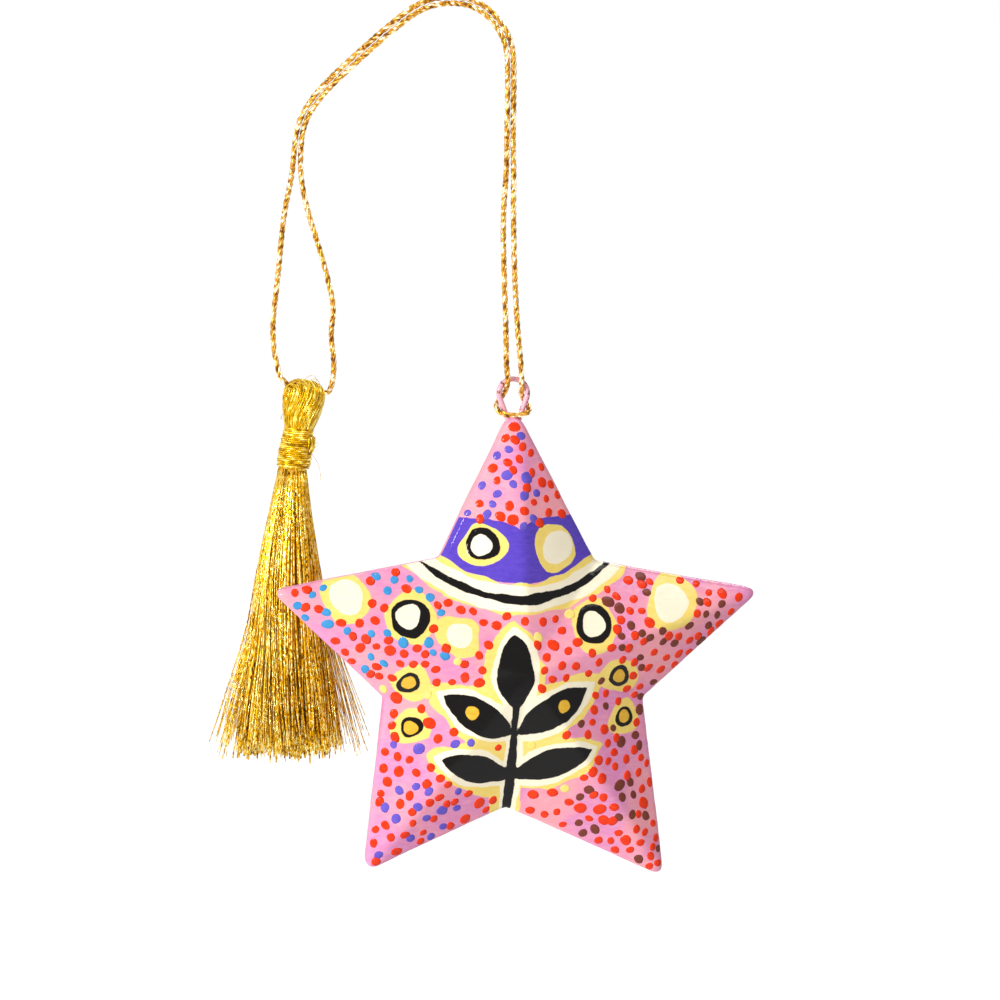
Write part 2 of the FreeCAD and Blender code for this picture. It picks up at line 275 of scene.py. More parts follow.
def spline_line(route, name):
    """The points of the smooth NURBS line that a route controls."""
    curve = bpy.data.curves.new(name, "CURVE")
    curve.dimensions = "3D"
    spline = curve.splines.new("NURBS")
    spline.points.add(len(route) - 1)
    for place, point in zip(spline.points, route):
        place.co = (*point, 1)
    spline.order_u = 3
    spline.use_endpoint_u = True
    holder = bpy.data.objects.new(name, curve)
    mesh = bpy.data.meshes.new_from_object(holder)
    line = np.array([v.co for v in mesh.vertices])
    bpy.data.meshes.remove(mesh)
    bpy.data.objects.remove(holder)
    bpy.data.curves.remove(curve)
    return line


def even_steps(line, step):
    """Points at one spacing along a line, and how far along each is."""
    far = length_up_to(line)
    at = np.arange(0, far[-1], step)
    return np.stack([np.interp(at, far, line[:, k]) for k in range(3)], axis=1), at


def side_ways(points):
    """Two directions square to a line at each of its points, turning no more than it does."""
    along = np.gradient(points, axis=0)
    along /= np.linalg.norm(along, axis=1)[:, None]
    side = np.cross(along[0], (0, 0.3, 1))
    sides = []
    for way in along:
        side = side - way * side.dot(way)
        side = side / np.linalg.norm(side)
        sides.append(side)
    sides = np.array(sides)
    return sides, np.cross(along, sides)


def length_up_to(points):
    """How far along a line each of its points is."""
    return np.concatenate([[0], np.cumsum(np.linalg.norm(np.diff(points, axis=0), axis=1))])


def thread_mesh(name, lines, radius, sides):
    """Round threads along these lines, as one closed mesh. Its "lay" says where on a thread a point is."""
    curve = bpy.data.curves.new(name, "CURVE")
    curve.dimensions = "3D"
    curve.bevel_depth = radius
    curve.bevel_resolution = max(sides // 2 - 2, 0)
    for line in lines:
        spline = curve.splines.new("POLY")
        spline.points.add(len(line) - 1)
        spline.points.foreach_set("co", np.column_stack([line, np.ones(len(line))]).ravel())
    holder = bpy.data.objects.new(name, curve)
    mesh = bpy.data.meshes.new_from_object(holder)
    bpy.data.objects.remove(holder)
    bpy.data.curves.remove(curve)
    lay = []
    for number, line in enumerate(lines):
        far = np.repeat(length_up_to(line), sides)
        round_way = np.tile(np.arange(sides) * round_pitch, len(line))
        own = np.full(len(line) * sides, number * thread_pitch)
        lay.append(np.column_stack([far, round_way, own]))
    values = np.concatenate(lay).ravel()
    mesh.attributes.new("lay", "FLOAT_VECTOR", "POINT").data.foreach_set("vector", values)
    bm = bmesh.new()
    bm.from_mesh(mesh)
    bmesh.ops.holes_fill(bm, edges=[e for e in bm.edges if e.is_boundary], sides=0)
    bmesh.ops.recalc_face_normals(bm, faces=bm.faces)
    bm.to_mesh(mesh)
    bm.free()
    return mesh


def make_foil_material(name, dark, plain, painted_glint, turn, foil):
    """Lacquered foil tape wound on a fibre core. Its turns are coloured dark, plain or as a painted glint
    along the thread: the dark colour is painted shade, and where a turn is dark the core also dulls its
    metal.
    """
    material, tree, output, _ = new_material(name)
    lay = node(tree, "ShaderNodeAttribute", attribute_name="lay").outputs["Vector"]
    turns = grain(tree, lay, turn, 1.0)
    bands = grain(tree, lay, turn * 5, 1.0)
    both = node(tree, "ShaderNodeMix", {0: 0.35, 2: turns, 3: bands}).outputs[0]
    # Painted shade and painted glints: the base colour goes dark or light turn by turn along the thread.
    body = mixed_colour(tree, ranged(tree, both, 0.37, 0.48), dark, plain)
    finish_surface(tree, output, {
        "Base Color": mixed_colour(tree, ranged(tree, both, 0.52, 0.58), body, painted_glint),
        "Metallic": ranged(tree, both, 0.35, 0.65, foil - 0.25, foil + 0.1),
        "Roughness": ranged(tree, both, 0.35, 0.65, 0.42, 0.16),
        "Specular IOR Level": 0.1,
        "Normal": bumped(tree, turns, 0.8, 0.1),
    })
    return material


# The cord's dark tone is painted shade and its lightest a painted glint.
cord_gold = make_foil_material("gold_foil_cord", "#744414", "#D49C38", "#FFEEC4", 0.9, 0.7)
right_hitch = [eye_centre + point for point in hitch_route]
left_hitch = [eye_centre + Vector((-point.x, point.y, point.z)) for point in reversed(hitch_route)]
loop_line = spline_line(outer_route + right_hitch + left_hitch + inner_route, "loop")
loop_points, loop_far = even_steps(loop_line, ply_step)
loop_side, loop_square = side_ways(loop_points)


def nearest_step(point):
    """The number of the loop's step nearest to a point."""
    return int(np.argmin(np.linalg.norm(loop_points - np.array(point), axis=1)))


def make_cord_piece(name, start, end, nodes, bodies, bend):
    """A stretch of the loop between two of its steps: plies laid round each other."""
    steps = slice(start, end + 1)
    centre, far = loop_points[steps], loop_far[steps]
    lines = []
    for ply in range(ply_count):
        turn = (far * (2 * math.pi / ply_lay) + ply * 2 * math.pi / ply_count)[:, None]
        out = np.cos(turn) * loop_side[steps] + np.sin(turn) * loop_square[steps]
        lines.append(centre + ply_offset * out)
    piece = link_piece(name, thread_mesh(name, lines, ply_radius, 8), cord_gold)
    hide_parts(*nodes)
    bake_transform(piece)


strand_parting = 8 * MM  # How far back the tassel's strands are told from the star's


def loop_step(found, height, back):
    """The one of these steps where the loop passes a height, on its back strand or not."""
    near = [n for n in found if (loop_points[n][1] > strand_parting) == back]
    return min(near, key=lambda n: abs(loop_points[n][2] - height * MM))


last_step = len(loop_points) - 1
hitch_step = nearest_step(eye_centre + Vector((0, -1.25, -3.25)) * MM)
outer_steps = range(0, hitch_step)
inner_steps = range(hitch_step, len(loop_points))
tassel_left, tassel_right = (loop_step(steps, -25, True) for steps in (outer_steps, inner_steps))
right_high, left_high = (loop_step(steps, -22.3, False) for steps in (outer_steps, inner_steps))
right_low, left_low = (loop_step(steps, -52.6, False) for steps in (outer_steps, inner_steps))

crown_middle = np.array(mm((-5.5, 1.2, 0.2))[0])
from_crown = np.linalg.norm(loop_points - crown_middle, axis=1)
middle_step = len(loop_points) // 2
top_outer = int(np.argmin(from_crown[:middle_step]))
top_inner = middle_step + int(np.argmin(from_crown[middle_step:]))

tassel_bend = mm((-20.85, 16, -54.5), (-20.85, 16, -60.2))
hanger_bend = mm((-21.9, 16, -19), (-21.9, 16, -25))
swing_bend = mm((9.6, 0, -15.5), (9.6, 0, -22.5))
twist_bend = mm((9.4, -0.4, -27), (9.4, -0.4, -46.5))
nod_bend = mm((10.1, 0, -55), (10.1, 0, -60))

crown_nodes = ("hanger_cord",)
star_nodes = ("star_cord_upper", "star_cord_lower")
tassel_nodes = ("tassel_cord", "cord_pass")
for cord_piece in (
    ("cord_tassel_left", 0, tassel_left, tassel_nodes, ("tassel_line", "tassel"), tassel_bend),
    ("cord_crown_tassel_left", tassel_left, top_outer, crown_nodes, ("hanger", "tassel_line"), hanger_bend),
    ("cord_crown_star_right", top_outer, right_high, crown_nodes, ("hanger", "star_line"), swing_bend),
    ("cord_star_right", right_high, right_low, star_nodes, ("star_line", "star_drop"), twist_bend),
    ("cord_eye_hitch", right_low, left_low, ("eye_hitch",), ("star_drop", "star"), nod_bend),
    ("cord_star_left", left_low, left_high, star_nodes, ("star_line", "star_drop"), twist_bend),
    ("cord_crown_star_left", left_high, top_inner, crown_nodes, ("hanger", "star_line"), swing_bend),
    ("cord_crown_tassel_right", top_inner, tassel_right, crown_nodes, ("hanger", "tassel_line"), hanger_bend),
    ("cord_tassel_right", tassel_right, last_step, tassel_nodes, ("tassel_line", "tassel"), tassel_bend),
):
    make_cord_piece(*cord_piece)


# ---- Star: paper pulp pressed in two moulds, glued, painted and varnished

star_centre = mm((10.679, 0, -104.183))[0]
tip_places = ((41.92, 90.8), (41.96, 16.0), (42.62, -55.3), (40.5, -127.9), (41.71, 161.4))
corner_places = ((21.05, 53.4), (21.27, -14.6), (22.42, -95.2), (22.0, -169.0), (21.9, 125.3))
relief = 9.0 * MM
crown_rise = 7.0 * MM
crown_power = 1.5
rim_half = 1.5 * MM
rim_reach = 1.15 * rim_half
cavity_share = 0.918
cavity_rim = 0.4 * MM
cavity_relief = 7.27 * MM
glue_half = 0.1 * MM
glue_inset_share = 0.992
glue_outset_share = 0.001
glue_fill = 0.9
glue_band_share = 0.93
tip_cuts = (3.6 * MM, 2.2 * MM, 2.2 * MM, 2.2 * MM, 2.2 * MM)
skin_grid = 0.33 * MM

# The skin's unevenness: the width and the height of its waves, in millimetres
skin_waves = ((11, 0.12), (2.6, 0.03))


def on_star(radius, angle):
    """A point of the star's plane, in millimetres and degrees from its centre."""
    turn = math.radians(angle)
    return Vector((radius * math.cos(turn), 0, radius * math.sin(turn))) * MM


def star_blank():
    """The star with flat faces, its tips rounded: a low pyramid on either side of a flat rim."""
    bm = bmesh.new()
    corners = []
    for pair in zip(tip_places, corner_places):
        corners += [bm.verts.new(on_star(*place) - ACROSS * rim_half) for place in pair]
    bmesh.ops.contextual_create(bm, geom=corners)
    for tip, cut in zip(corners[::2], tip_cuts):
        bmesh.ops.bevel(bm, geom=[tip], offset=cut, segments=5, profile=0.5, affect="VERTICES", material=-1)
    risen = bmesh.ops.extrude_face_region(bm, geom=bm.faces[:])["geom"]
    top = [v for v in risen if isinstance(v, bmesh.types.BMVert)]
    bmesh.ops.translate(bm, vec=ACROSS * rim_half * 2, verts=top)
    for face in sorted(bm.faces, key=lambda f: -len(f.verts))[:2]:
        height = math.copysign(relief, face.calc_center_median().y)
        bmesh.ops.poke(bm, faces=[face])["verts"][0].co = ACROSS * height
    bmesh.ops.recalc_face_normals(bm, faces=bm.faces)
    return bm


def evenly_meshed(bm):
    """The same shape in a mesh whose faces are all about one size."""
    mesh = bpy.data.meshes.new("blank")
    bm.to_mesh(mesh)
    bm.free()
    blank = bpy.data.objects.new("blank", mesh)
    bpy.context.scene.collection.objects.link(blank)
    even = blank.modifiers.new("even", "REMESH")
    even.mode = "VOXEL"
    even.voxel_size = skin_grid
    bpy.context.view_layer.update()
    skin = bpy.data.meshes.new_from_object(blank.evaluated_get(bpy.context.evaluated_depsgraph_get()))
    bpy.data.objects.remove(blank)
    bm = bmesh.new()
    bm.from_mesh(skin)
    bpy.data.meshes.remove(skin)
    return bm


def soft_star():
    """The whole star as one skin: fuller in its middle, its edges rubbed soft, its faces a little uneven."""
    bm = evenly_meshed(star_blank())
    for vert in bm.verts:
        rise = abs(vert.co.y) - rim_half
        if rise > 0:
            share = min(rise / (relief - rim_half), 1)
            vert.co.y = math.copysign(rim_half + crown_rise * (1 - (1 - share) ** crown_power), vert.co.y)
    rim = [v for v in bm.verts if abs(v.co.y) < rim_reach]
    every_way = {"use_axis_x": True, "use_axis_y": True, "use_axis_z": True}
    for part, times in ((bm.verts, 1), (rim, 5)):
        for _ in range(times):
            bmesh.ops.smooth_vert(bm, verts=part, factor=0.5, **every_way)
    bm.normal_update()
    for vert in bm.verts:
        swell = sum(noise.noise(vert.co * per(width)) * height for width, height in skin_waves)
        vert.co += vert.normal * swell * MM
    return bm


def cut_at_rim(skin, side):
    """A copy of the skin's half on one side of the middle plane, and its open edge."""
    bm = skin.copy()
    bmesh.ops.bisect_plane(bm, geom=bm.verts[:] + bm.edges[:] + bm.faces[:], dist=1e-7,
                           plane_co=(0, 0, 0), plane_no=ACROSS * side, clear_inner=True)
    return bm, [e for e in bm.edges if e.is_boundary]


def grow_edge(bm, edge, share, depth):
    """Draw an open edge in towards the star's centre, or out from its middle plane."""
    grown = bmesh.ops.extrude_edge_only(bm, edges=edge)["geom"]
    verts = [v for v in grown if isinstance(v, bmesh.types.BMVert)]
    bmesh.ops.scale(bm, vec=(share, 1, share), verts=verts)
    bmesh.ops.translate(bm, vec=ACROSS * depth, verts=verts)
    return [e for e in grown if isinstance(e, bmesh.types.BMEdge)], verts


def half_star(skin, side):
    """One half of the skin, closed by its glued edge and its hollow inside."""
    bm, edge = cut_at_rim(skin, side)
    to_cavity = ((glue_inset_share, 0), (1, glue_half), (cavity_share, 0), (1, cavity_rim - glue_half))
    for share, depth in to_cavity:
        edge, _ = grow_edge(bm, edge, share, depth * side)
    _, roof = grow_edge(bm, edge, 1, 0)
    bmesh.ops.pointmerge(bm, verts=roof, merge_co=ACROSS * cavity_relief * side)
    bmesh.ops.recalc_face_normals(bm, faces=bm.faces)
    bmesh.ops.translate(bm, vec=star_centre, verts=bm.verts)
    return bm


def glue_line(skin):
    """The thin bed of glue between the halves: a flat band just inside their edges."""
    bm, outline = cut_at_rim(skin, 1)
    kept = {v for e in outline for v in e.verts}
    bmesh.ops.delete(bm, geom=[v for v in bm.verts if v not in kept], context="VERTS")
    bmesh.ops.delete(bm, geom=bm.faces[:], context="FACES_ONLY")
    bmesh.ops.delete(bm, geom=[e for e in bm.edges if e.is_valid and e not in outline], context="EDGES")
    bmesh.ops.scale(bm, vec=(glue_inset_share + glue_outset_share,) * 3, verts=bm.verts)
    bmesh.ops.translate(bm, vec=-ACROSS * glue_half * glue_fill, verts=bm.verts)
    first = edge = bm.edges[:]
    height = 2 * glue_fill * glue_half
    for share, depth in ((1, height), (glue_band_share, 0), (1, -height)):
        edge, _ = grow_edge(bm, edge, share, depth)
    bmesh.ops.bridge_loops(bm, edges=first + edge)
    bmesh.ops.recalc_face_normals(bm, faces=bm.faces)
    bmesh.ops.translate(bm, vec=star_centre, verts=bm.verts)
    return bm


# Painted shapes, as distances to their edges in millimetres, less than 0 inside

def disc(p, centre, radius):
    return np.hypot(p[:, 0] - centre[0], p[:, 1] - centre[1]) - radius


def round_angle(p, centre):
    return np.arctan2(p[:, 1] - centre[1], p[:, 0] - centre[0])


def patch(p, centre, radius):
    """A round patch as a quick hand leaves it: a little oval, a little three-cornered."""
    angle = round_angle(p, centre)
    hand = 0.03 * np.sin(2 * angle + centre[0]) + 0.04 * np.sin(3 * angle + 2 * centre[1])
    return disc(p, centre, radius * (1 + hand))


def ring(p, centre, radius, half_width):
    """A ring drawn in one go, broader where the brush lingered."""
    return abs(patch(p, centre, radius)) - half_width * (1 + 0.3 * np.sin(round_angle(p, centre) + centre[1]))


def stroke(p, start, end, half_width):
    start, way = np.array(start), np.array(end) - np.array(start)
    share = np.clip(((p - start) @ way) / way.dot(way), 0, 1)
    return np.hypot(*(p - start - share[:, None] * way).T) - half_width


def leaf(p, foot, tip, half_width):
    """The overlap of two discs, its points rounded."""
    foot, tip = np.array(foot), np.array(tip)
    half = np.linalg.norm(tip - foot) / 2
    radius = (half**2 + half_width**2) / (2 * half_width)
    square = np.array((foot[1] - tip[1], tip[0] - foot[0])) / (2 * half) * (radius - half_width)
    middle = (foot + tip) / 2
    return np.maximum(disc(p, middle + square, radius), disc(p, middle - square, radius)) - 0.3


def joined(*shapes):
    return np.minimum.reduce(shapes)


def patches(p, places, radius):
    return joined(*[patch(p, place, radius) for place in places])


band_centre = (-0.2, 35.6)
band_radius = 21.5
garland_radius = 24.0
front_rings = (  # x, z, radius and half the line's width
    (-6.4, 20.1, 2.05, 0.42), (-18.3, 9.1, 2.45, 0.58), (11.1, 7.3, 2.45, 0.52),
)
front_discs = (  # x, z, the cream's radius and the yellow's
    (5.4, 19.6, 2.5, 3.75), (-28.0, 12.1, 2.6, 3.9), (24.3, 10.1, 2.9, 4.4), (-10.9, 6.2, 2.1, 3.5),
)
front_beads = ((-18.2, -1.4), (-17.8, -8.6), (15.6, -1.2), (16.8, -8.0))
front_leaves = (
    ((-1.9, -5.4), (-2.0, 6.0), 2.6), ((-2.4, -9.6), (-12.6, -3.6), 2.3), ((-1.4, -9.6), (9.9, -2.8), 2.3),
    ((-2.4, -16.8), (-13.0, -13.6), 2.1), ((-1.4, -16.8), (10.4, -12.8), 2.1),
)
front_stems = (((-2.1, -23.8), (-1.9, -13), 0.72), ((-1.9, -13), (-1.9, -3.6), 0.62))
hearts = ((-8.6, -6.0), (5.9, -5.4))


def front_paint(p):
    """A band and a garland over the top arm, discs and rings on the arms, one even sprig in the middle."""
    far = disc(p, band_centre, 0)
    band_top = 24.4 - 2.0 * np.exp(-abs(p[:, 0] + 0.6) / 2.2)
    leaves = [leaf(p, *shape) for shape in front_leaves]
    sprig = joined(*leaves, *[stroke(p, *stem) for stem in front_stems])
    rings = [ring(p, (x, z), radius, width) for x, z, radius, width in front_rings]
    ring_creams = [patch(p, (x, z), radius) for x, z, radius, _ in front_rings]
    ring_yellows = [patch(p, (x + 0.2, z - 0.1), radius + 1.55) for x, z, radius, _ in front_rings]
    disc_creams = [patch(p, (x + 0.25, z), radius) for x, z, radius, _ in front_discs]
    disc_yellows = [patch(p, (x, z), radius) for x, z, _, radius in front_discs]
    beads = patches(p, front_beads, 1.7)
    garland = abs(far - garland_radius) - 0.76 + 0.0016 * p[:, 0] ** 2
    return {
        "violet": np.maximum(far - band_radius, p[:, 1] - band_top),
        "yellow": joined(*disc_yellows, *ring_yellows, sprig - 1.75, beads - 1.2, abs(far - 23.9) - 2.55),
        "cream": joined(*disc_creams, *ring_creams, sprig - 0.85, abs(far - 23.95) - 1.9),
        "black": joined(*rings, sprig, beads, garland),
        "gold": joined(patches(p, front_beads, 1.05), patches(p, hearts, 1.0)),
    }


def back_paint(p):
    """Rings on the arms round a plain disc."""
    places = [(22.5 * math.cos(math.radians(a)), 22.5 * math.sin(math.radians(a))) for _, a in tip_places]
    rings = [ring(p, place, 2.3, 0.46) for place in places]
    return {
        "violet": disc(p, (0, 0), 5.4),
        "yellow": joined(patches(p, places, 3.9), disc(p, (0, 0), 3.9)),
        "cream": joined(patches(p, places, 2.3), disc(p, (0, 0), 2.6)),
        "black": joined(*rings, ring(p, (0, 0), 2.6, 0.5)),
        "gold": disc(p, (0, 0), 1.1),
    }


# How thick each coat lies, in millimetres, and how far its edge strays from the drawn line
coats = {
    "violet": (0.015, 0.3), "yellow": (0.02, 0.95), "cream": (0.025, 0.5),
    "black": (0.04, 0.42), "gold": (0.03, 0.2),
}
stray_width = 3.6
paint_end = 0.3 * rim_half  # How far from the star's middle plane its paint ends
bare = 50.0  # An edge distance with no paint near


def lay_paint(bm, paint, side):
    """Store each colour's edge distance on the skin, and raise the skin where the paint is thick."""
    bm.normal_update()
    p = np.array([((v.co.x - star_centre.x) / MM, (v.co.z - star_centre.z) / MM) for v in bm.verts])
    outward = [v.normal.y * side + v.normal.dot((v.co - star_centre).normalized()) for v in bm.verts]
    outside = np.array(outward) > 0
    rim = np.array([paint_end - v.co.y * side for v in bm.verts]) / MM
    fields = paint(p)
    rise = np.zeros(len(p))
    for number, (name, (thickness, reach)) in enumerate(coats.items()):
        seed = number * 3.7
        waver = np.array([noise.noise(Vector((x / stray_width, z / stray_width, seed))) for x, z in p])
        fields[name] = np.where(outside, np.maximum(fields[name] + waver * reach, rim), bare)
        rise += np.clip(0.5 - fields[name] / 0.5, 0, 1) * thickness
    for vert, height in zip(bm.verts, rise):
        vert.co += vert.normal * height * MM
    return fields


def make_paint_material():
    """Poster paint on paper pulp under brushed gloss varnish: streaky colour, a wet shine over it."""
    material, tree, output, place = new_material("varnished_poster_paint")
    stretched = node(tree, "ShaderNodeMapping", {
        "Vector": place, "Scale": (per(1.5), per(1.5), per(0.5)), "Rotation": (0, 0.3, 0),
    })
    streak = node(tree, "ShaderNodeTexNoise", {
        "Vector": stretched.outputs[0], "Scale": 1.0, "Detail": 3.0, "Roughness": 0.6,
    }).outputs["Fac"]
    shade = mixed_colour(tree, ranged(tree, grain(tree, place, 8, 3.0), 0.38, 0.62), "#FAA3AE", "#E68FC0")
    tone = mixed_colour(tree, ranged(tree, streak, 0.42, 0.75, 0.0, 0.4), shade, "#FBBCCA")
    sway = ranged(tree, grain(tree, place, 1.3, 2.0), 0.0, 1.0, -0.2, 0.2)
    for name, deep, light in (
        ("violet", "#4C35AE", "#6A50CC"), ("yellow", "#FBD24E", "#FFEB94"), ("cream", "#FFEFCB", "#FFFAE4"),
        ("black", "#050404", "#120E0C"), ("gold", "#D8981A", "#FAD04A"),
    ):
        edge = node(tree, "ShaderNodeAttribute", attribute_name=name).outputs["Fac"]
        wavering = node(tree, "ShaderNodeMath", {0: edge, 1: sway}, operation="ADD").outputs[0]
        own = mixed_colour(tree, streak, deep, light)
        tone = mixed_colour(tree, ranged(tree, wavering, 0.05, -0.05), tone, own)
    depth = node(tree, "ShaderNodeSeparateXYZ", {"Vector": place}).outputs["Y"]
    far = node(tree, "ShaderNodeMath", {0: depth}, operation="ABSOLUTE").outputs[0]
    off_rim = ranged(tree, far, 1.6 * MM, 3.2 * MM, 0.0, 0.8)
    finish_surface(tree, output, {
        "Base Color": tone, "Roughness": 0.5, "Specular IOR Level": 0.0,
        "Normal": bumped(tree, streak, off_rim, 0.02),
        "Coat Weight": 0.45, "Coat Roughness": 0.06, "Coat IOR": 1.4,
        "Coat Normal": bumped(tree, grain(tree, place, 0.8, 2.0), off_rim, 0.08),
    })
    return material


def make_dot_material(name, deep, light):
    """One touch of thick poster paint under the same varnish: a nearly even colour."""
    material, tree, output, place = new_material(name)
    thick = grain(tree, place, 1.1, 2.0)
    finish_surface(tree, output, {
        "Base Color": mixed_colour(tree, thick, deep, light), "Roughness": 0.5, "Specular IOR Level": 0.0,
        "Normal": bumped(tree, thick, 0.4, 0.05),
        "Coat Weight": 0.3, "Coat Roughness": 0.1, "Coat IOR": 1.4,
    })
    return material


def store_layer(piece, layer, values):
    """Keep one colour's edge distances on a piece's points."""
    own = piece.data.attributes.new(layer, "FLOAT", "POINT")
    own.data.foreach_set("value", values.astype(np.float32))


skin = soft_star()
paint = make_paint_material()
skins = {}
for name, side, node_name, design in (
    ("star_front", -1, "front_shell", front_paint),
    ("star_back", 1, "back_shell", back_paint),
):
    bm = half_star(skin, side)
    fields = lay_paint(bm, design, side)
    skins[side] = BVHTree.FromBMesh(bm)
    piece = finish_piece(name, bm, paint)
    for layer, values in fields.items():
        store_layer(piece, layer, values)
    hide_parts(node_name)
    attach(piece, "star")
glue = finish_piece("glue_bed", glue_line(skin), paint)
for layer in coats:
    store_layer(glue, layer, np.full(len(glue.data.vertices), bare))
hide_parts("seam_glue")
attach(glue, "star")
skin.free()


# ---- Dots: touches of paint in pairs of colours

dot_tones = {
    "red": ("#E82A08", "#FF4A1E"), "violet": ("#5644B4", "#7A6AD6"), "blue": ("#2C86C8", "#4FA8E0"),
    "maroon": ("#6E3026", "#8A4636"), "yellow": ("#FFD65A", "#FFF09A"),
}
drops = {key: [] for key in dot_tones}
dot_rim_gap = 1.8 * MM

# How far each level of a drop stands off the skin, in millimetres
drop_heights = {"top": 0.04, "edge": -0.02, "foot": -0.06}


def place_dot(tone, skin, side, x, z, radius, lift):
    """Settle where a drop of paint lands, and its outline. None lands on the rim or outside the star."""
    start = Vector((star_centre.x + x * MM, 20 * MM * side, star_centre.z + z * MM))
    hit, normal, _, _ = skin.ray_cast(start, Vector((0, -side, 0)))
    if hit is None or abs(hit.y) < dot_rim_gap:
        return False
    turn = chance.uniform(0, math.pi)
    along = Matrix.Rotation(turn, 3, normal) @ normal.cross(UP).normalized()
    wide, narrow = radius * MM * chance.uniform(0.98, 1.14), radius * MM * chance.uniform(0.86, 1.0)
    drops[tone].append((skin, hit, along * wide, normal.cross(along) * narrow, lift, chance.uniform(0, 90)))
    return True


def spread_dots(places):
    """Thin drops of paint that follow the skin under them."""
    unit = bmesh.new()
    bmesh.ops.create_uvsphere(unit, u_segments=12, v_segments=4, radius=1)
    size = len(unit.verts)
    mesh = bpy.data.meshes.new("drop")
    unit.to_mesh(mesh)
    unit.free()
    bm = bmesh.new()
    for _ in places:
        bm.from_mesh(mesh)
    bpy.data.meshes.remove(mesh)
    for number, vert in enumerate(bm.verts):
        skin, hit, wide, narrow, lift, seed = places[number // size]
        uneven = 1 + 0.16 * noise.noise(Vector((vert.co.x, vert.co.y, seed)))
        spot, out, _, _ = skin.find_nearest(hit + (wide * vert.co.x + narrow * vert.co.y) * uneven)
        level = "top" if vert.co.z > 0.1 else "edge" if vert.co.z > -0.1 else "foot"
        vert.co = spot + out * (lift + drop_heights[level]) * MM
    bmesh.ops.recalc_face_normals(bm, faces=bm.faces)
    return bm


def arm_tones(x, z):
    """The second dot colour at a place, how often it comes there, and how far apart the dots are."""
    if z > 20:
        return "violet", 0.5, 1.5
    if x < -12 and z > 0:
        return "blue", 0.42, 1.6
    if x > 12 and z > -8 or x > 9 and z < -8:
        return "maroon", 0.45, 1.55
    if x < -8 and z < -9:
        return "violet", 0.42, 1.6
    return "yellow", 0.3 if x < -2 else 0.08, 1.8


tries_per_side = 26000
dots_across = (-41, 41)
dots_up = (-38, 42)
usual_dot = (0.7, 0.88)
large_dot = (0.92, 1.12)
usual_share = 0.85

# The red dot that laps over some of the others
lapping_dot = (0.68, 0.84)
lapping_share = 0.8
lapping_distance = 1.2
lapping_gap = 1.3
lapping_lift = 0.025


def scatter_dots(design, side, skin):
    """Dots all over one side, kept off the cream and black, some of them in overlapping pairs."""
    x = np.array([chance.uniform(*dots_across) for _ in range(tries_per_side)])
    z = np.array([chance.uniform(*dots_up) for _ in range(tries_per_side)])
    fields = design(np.column_stack([x, z]))
    clear = np.minimum(fields["cream"], fields["black"])
    free = (clear > 0.8) & (fields["yellow"] > -0.35) & (fields["violet"] > 0.2)
    spots = np.empty((0, 3))
    for x, z in zip(x[free], z[free]):
        if len(spots) and (np.hypot(spots[:, 0] - x, spots[:, 1] - z) < spots[:, 2]).any():
            continue
        second, share, gap = arm_tones(x, z)
        tone = second if chance.random() < share else "red"
        radius = chance.uniform(*(usual_dot if chance.random() < usual_share else large_dot))
        if not place_dot(tone, skin, side, x, z, radius, 0):
            continue
        spots = np.vstack([spots, (x, z, gap + chance.uniform(0, 0.3) + radius - 0.8)])
        if tone != "red" and chance.random() < lapping_share:
            turn = chance.uniform(0, 2 * math.pi)
            x, z = x + lapping_distance * math.cos(turn), z + lapping_distance * math.sin(turn)
            near = design(np.array([(x, z)]))
            apart = np.hypot(spots[:-1, 0] - x, spots[:-1, 1] - z)
            if min(near["cream"][0], near["black"][0]) > 0.7 and not (apart < lapping_gap).any():
                if place_dot("red", skin, side, x, z, chance.uniform(*lapping_dot), lapping_lift):
                    spots = np.vstack([spots, (x, z, gap)])


scatter_dots(front_paint, -1, skins[-1])
scatter_dots(back_paint, 1, skins[1])
for key, places in drops.items():
    finish = make_dot_material("thick_" + key + "_paint", *dot_tones[key])
    piece = finish_piece("paint_dots_" + key, spread_dots(places), finish)
    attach(piece, "star")


# ---- Wire eye: painted with the star, its paint chipped, and its plug

def make_eye_material():
    """Drawn iron wire under the star's pink: the paint has chipped, and dull dark metal shows there."""
    material, tree, output, place = new_material("painted_iron_wire")
    chips = ranged(tree, grain(tree, place, 1.5, 3.0), 0.57, 0.6)
    finish_surface(tree, output, {
        "Base Color": mixed_colour(tree, chips, "#F0ACBC", "#7A5648"), "Metallic": chips,
        "Roughness": ranged(tree, chips, 0.0, 1.0, 0.35, 0.45), "Normal": bumped(tree, chips, 0.6, -0.05),
    })
    return material


def make_plug_material():
    """Plain paper pulp, dried hard: pale, matt and fibrous."""
    material, tree, output, place = new_material("paper_pulp")
    fibre = grain(tree, place, 0.6, 4.0)
    finish_surface(tree, output, {
        "Base Color": mixed_colour(tree, fibre, "#C9B99E", "#E6DAC4"), "Roughness": 0.9,
        "Normal": bumped(tree, fibre, 0.7, 0.15),
    })
    return material


for name, finish in (("wire_eye", make_eye_material()), ("eye_plug", make_plug_material())):
    carried = bpy.data.objects[name]
    carried.data.materials.clear()
    carried.data.materials.append(finish)


# ---- Tassel: thread folded over the cord, bound round its neck and cut at the foot

